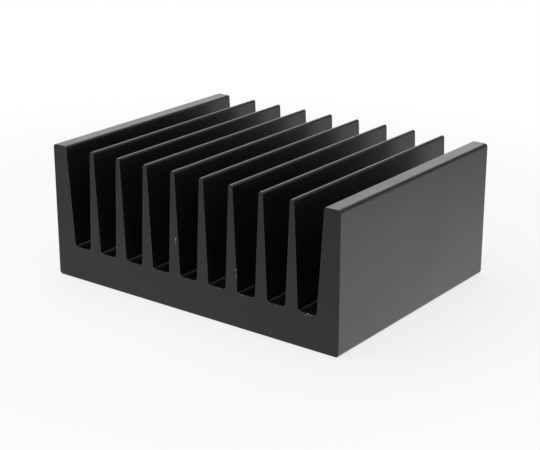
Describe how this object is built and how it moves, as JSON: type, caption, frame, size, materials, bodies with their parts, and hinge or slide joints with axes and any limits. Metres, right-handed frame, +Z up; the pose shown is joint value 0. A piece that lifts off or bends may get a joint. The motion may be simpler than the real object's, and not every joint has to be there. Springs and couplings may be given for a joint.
{
  "type": "extruded heat sink",
  "caption": "Black anodised extruded heat sink: a thick flat base with a comb of tapered cooling fins between two heavier end walls, sawn square at both ends.",
  "frame": {"origin": "middle of the flat mounting face under the base", "axes": "+X across the fins, +Y along the extrusion, +Z up from the mounting face towards the fin tips"},
  "size_m": [0.1, 0.075, 0.04],
  "materials": {
    "black_anodised": "satin black anodised aluminium, die lines along the fins and a finer sawn grain on the two cut ends"
  },
  "bodies": {
    "root": {"heat_sink": "black_anodised"}
  },
  "joints": []
}
